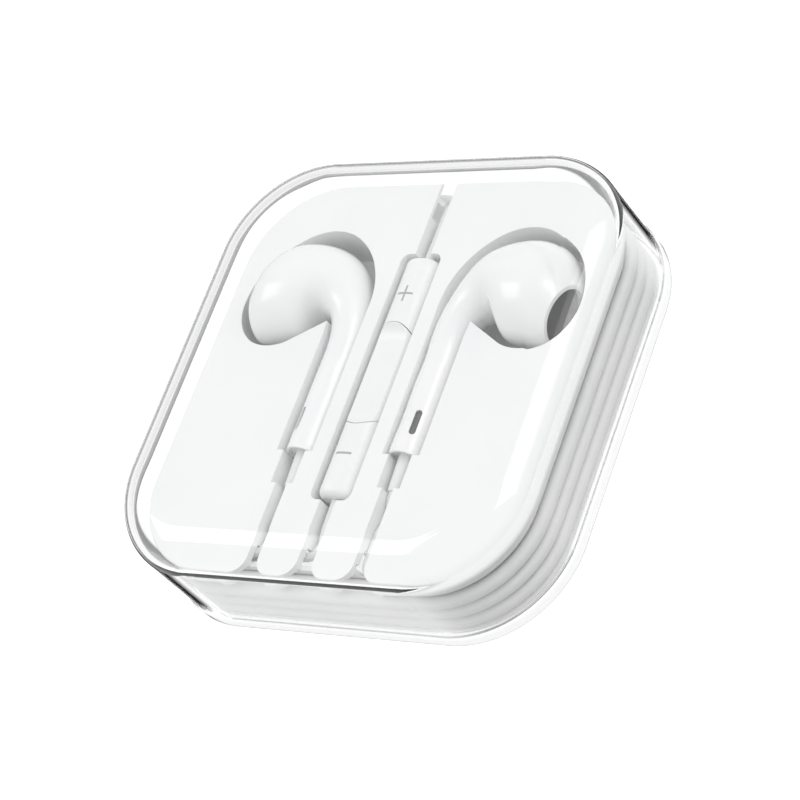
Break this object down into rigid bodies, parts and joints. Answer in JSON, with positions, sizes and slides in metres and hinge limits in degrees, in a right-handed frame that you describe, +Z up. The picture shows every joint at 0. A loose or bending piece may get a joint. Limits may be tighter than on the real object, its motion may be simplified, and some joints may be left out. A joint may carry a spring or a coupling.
{
  "type": "wired earphones",
  "caption": "Wired in-ear earphones with an inline remote, seated in a white tray that carries the wound cable, inside a clear rounded-square case.",
  "frame": {"origin": "bottom centre of the clear base", "axes": "+Z up through the tray and lid, +Y from the stems to the ear pieces, +X to the right ear piece"},
  "size_m": [0.0662, 0.0662, 0.0186],
  "materials": {
    "clear_plastic": "clear polished polystyrene",
    "tray_plastic": "white satin moulding",
    "white_plastic": "white gloss",
    "cable_rubber": "white soft-touch jacket",
    "grille_mesh": "black fine mesh",
    "driver_metal": "plain stamped steel",
    "diaphragm_film": "thin film",
    "board_laminate": "solder-masked laminate",
    "contact_metal": "plated contacts"
  },
  "bodies": {
    "base": {"case_base": "clear_plastic"},
    "lid": {"case_lid": "clear_plastic"},
    "loaded_tray": {"tray": "tray_plastic", "right_rear_shell": "white_plastic", "right_front_shell": "white_plastic", "right_grille": "grille_mesh", "right_driver_frame": "driver_metal", "right_driver_magnet": "driver_metal", "right_diaphragm": "diaphragm_film", "right_vent_screen": "grille_mesh", "right_strain_relief": "cable_rubber", "left_rear_shell": "white_plastic", "left_front_shell": "white_plastic", "left_grille": "grille_mesh", "left_driver_frame": "driver_metal", "left_driver_magnet": "driver_metal", "left_diaphragm": "diaphragm_film", "left_vent_screen": "grille_mesh", "left_strain_relief": "cable_rubber", "remote_back_shell": "white_plastic", "remote_circuit_board": "board_laminate", "switch_domes": "driver_metal", "remote_microphone": "driver_metal", "remote_upper_relief": "cable_rubber", "remote_lower_relief": "cable_rubber", "main_cable": "cable_rubber", "left_lead": "cable_rubber", "remote_lead": "cable_rubber", "right_lead": "cable_rubber", "y_splitter": "cable_rubber", "plug_strain_relief": "cable_rubber", "plug_housing": "white_plastic", "plug_contacts": "contact_metal", "plug_insulator": "white_plastic"},
    "volume_up_key": {"key_volume_up": "white_plastic"},
    "call_key": {"key_call": "white_plastic"},
    "volume_down_key": {"key_volume_down": "white_plastic"}
  },
  "joints": [
    {"name": "tray_lift", "type": "slide", "parent": "base", "child": "loaded_tray", "axis": [0, 0, 1], "range_m": [0, 0.025]},
    {"name": "lid_lift", "type": "slide", "parent": "loaded_tray", "child": "lid", "axis": [0, 0, 1], "range_m": [0, 0.03]},
    {"name": "volume_up_press", "type": "slide", "parent": "loaded_tray", "child": "volume_up_key", "axis": [0, 0, -1], "range_m": [0, 0.00025], "stiffness_N_per_m": 2000},
    {"name": "call_press", "type": "slide", "parent": "loaded_tray", "child": "call_key", "axis": [0, 0, -1], "range_m": [0, 0.00025], "stiffness_N_per_m": 2000},
    {"name": "volume_down_press", "type": "slide", "parent": "loaded_tray", "child": "volume_down_key", "axis": [0, 0, -1], "range_m": [0, 0.00025], "stiffness_N_per_m": 2000}
  ]
}
